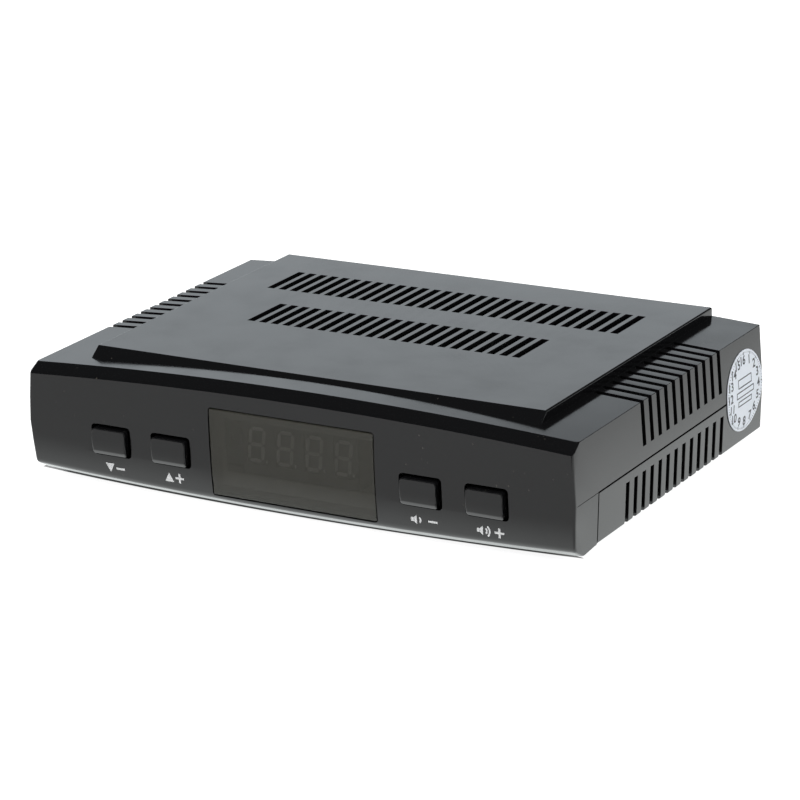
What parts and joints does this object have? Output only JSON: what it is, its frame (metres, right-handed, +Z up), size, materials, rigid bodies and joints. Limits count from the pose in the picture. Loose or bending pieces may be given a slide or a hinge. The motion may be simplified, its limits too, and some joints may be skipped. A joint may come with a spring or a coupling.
{
  "type": "satellite tv receiver",
  "caption": "Compact satellite television receiver in a slotted two-part plastic housing, with a display window, front push buttons and rear aerial, video, data and power sockets.",
  "frame": {"origin": "on the ground under the middle of the whole box, feet and rear socket included", "axes": "+X to the right seen from the front, +Y towards the back, +Z up"},
  "size_m": [0.1419, 0.1056, 0.0316],
  "materials": {
    "black_plastic": "glossy moulded black",
    "smoked_acrylic": "smoked, polished",
    "moulded_black": "matt moulded black",
    "circuit_board": "green solder mask",
    "steel": "bright zinc plate",
    "nickel": "bright nickel plate",
    "white_plastic": "natural white nylon",
    "aluminium": "extruded, plain anodised",
    "capacitor_sleeve": "dark shrink sleeve",
    "ferrite": "pressed ferrite",
    "rubber": "matt black",
    "label_paper": "coated white paper"
  },
  "bodies": {
    "root": {"top_cover": "black_plastic", "base_tray": "black_plastic", "rear_panel": "black_plastic", "display_window": "smoked_acrylic", "channel_down_switch": "moulded_black", "channel_up_switch": "moulded_black", "volume_down_switch": "moulded_black", "volume_up_switch": "moulded_black", "key_board": "circuit_board", "display_module": "moulded_black", "infrared_receiver": "moulded_black", "main_board": "circuit_board", "tuner_can": "steel", "lnb_socket": "nickel", "lnb_insulator": "white_plastic", "audio_jack": "moulded_black", "hdmi_shell": "nickel", "hdmi_tongue": "moulded_black", "usb_shell": "nickel", "usb_tongue": "white_plastic", "power_jack": "moulded_black", "power_pin": "nickel", "main_processor": "moulded_black", "heat_sink": "aluminium", "memory_chip": "moulded_black", "flash_chip": "moulded_black", "input_capacitor": "capacitor_sleeve", "output_capacitor": "capacitor_sleeve", "aerial_capacitor": "capacitor_sleeve", "power_inductor": "ferrite", "clock_crystal": "steel", "board_link": "white_plastic", "front_left_foot": "rubber", "front_right_foot": "rubber", "back_left_foot": "rubber", "back_right_foot": "rubber", "front_left_case_screw": "steel", "front_right_case_screw": "steel", "back_left_case_screw": "steel", "back_right_case_screw": "steel", "left_board_screw": "steel", "right_board_screw": "steel", "left_key_screw": "steel", "right_key_screw": "steel", "round_label": "label_paper"},
    "channel_down_key": {"channel_down_button": "black_plastic"},
    "channel_up_key": {"channel_up_button": "black_plastic"},
    "volume_down_key": {"volume_down_button": "black_plastic"},
    "volume_up_key": {"volume_up_button": "black_plastic"},
    "channel_down_contact": {"channel_down_plunger": "moulded_black"},
    "channel_up_contact": {"channel_up_plunger": "moulded_black"},
    "volume_down_contact": {"volume_down_plunger": "moulded_black"},
    "volume_up_contact": {"volume_up_plunger": "moulded_black"}
  },
  "joints": [
    {"name": "channel_down_press", "type": "slide", "parent": "root", "child": "channel_down_key", "axis": [0, 1, 0], "range_m": [0, 0.0006], "stiffness_N_per_m": 300},
    {"name": "channel_up_press", "type": "slide", "parent": "root", "child": "channel_up_key", "axis": [0, 1, 0], "range_m": [0, 0.0006], "stiffness_N_per_m": 300},
    {"name": "volume_down_press", "type": "slide", "parent": "root", "child": "volume_down_key", "axis": [0, 1, 0], "range_m": [0, 0.0006], "stiffness_N_per_m": 300},
    {"name": "volume_up_press", "type": "slide", "parent": "root", "child": "volume_up_key", "axis": [0, 1, 0], "range_m": [0, 0.0006], "stiffness_N_per_m": 300},
    {"name": "channel_down_switch_travel", "type": "slide", "parent": "root", "child": "channel_down_contact", "axis": [0, 1, 0], "range_m": [0, 0.0003], "stiffness_N_per_m": 100},
    {"name": "channel_up_switch_travel", "type": "slide", "parent": "root", "child": "channel_up_contact", "axis": [0, 1, 0], "range_m": [0, 0.0003], "stiffness_N_per_m": 100},
    {"name": "volume_down_switch_travel", "type": "slide", "parent": "root", "child": "volume_down_contact", "axis": [0, 1, 0], "range_m": [0, 0.0003], "stiffness_N_per_m": 100},
    {"name": "volume_up_switch_travel", "type": "slide", "parent": "root", "child": "volume_up_contact", "axis": [0, 1, 0], "range_m": [0, 0.0003], "stiffness_N_per_m": 100}
  ],
  "couplings": [
    {"joint": "channel_down_switch_travel", "follows": "channel_down_press", "ratio": 0.5},
    {"joint": "channel_up_switch_travel", "follows": "channel_up_press", "ratio": 0.5},
    {"joint": "volume_down_switch_travel", "follows": "volume_down_press", "ratio": 0.5},
    {"joint": "volume_up_switch_travel", "follows": "volume_up_press", "ratio": 0.5}
  ]
}
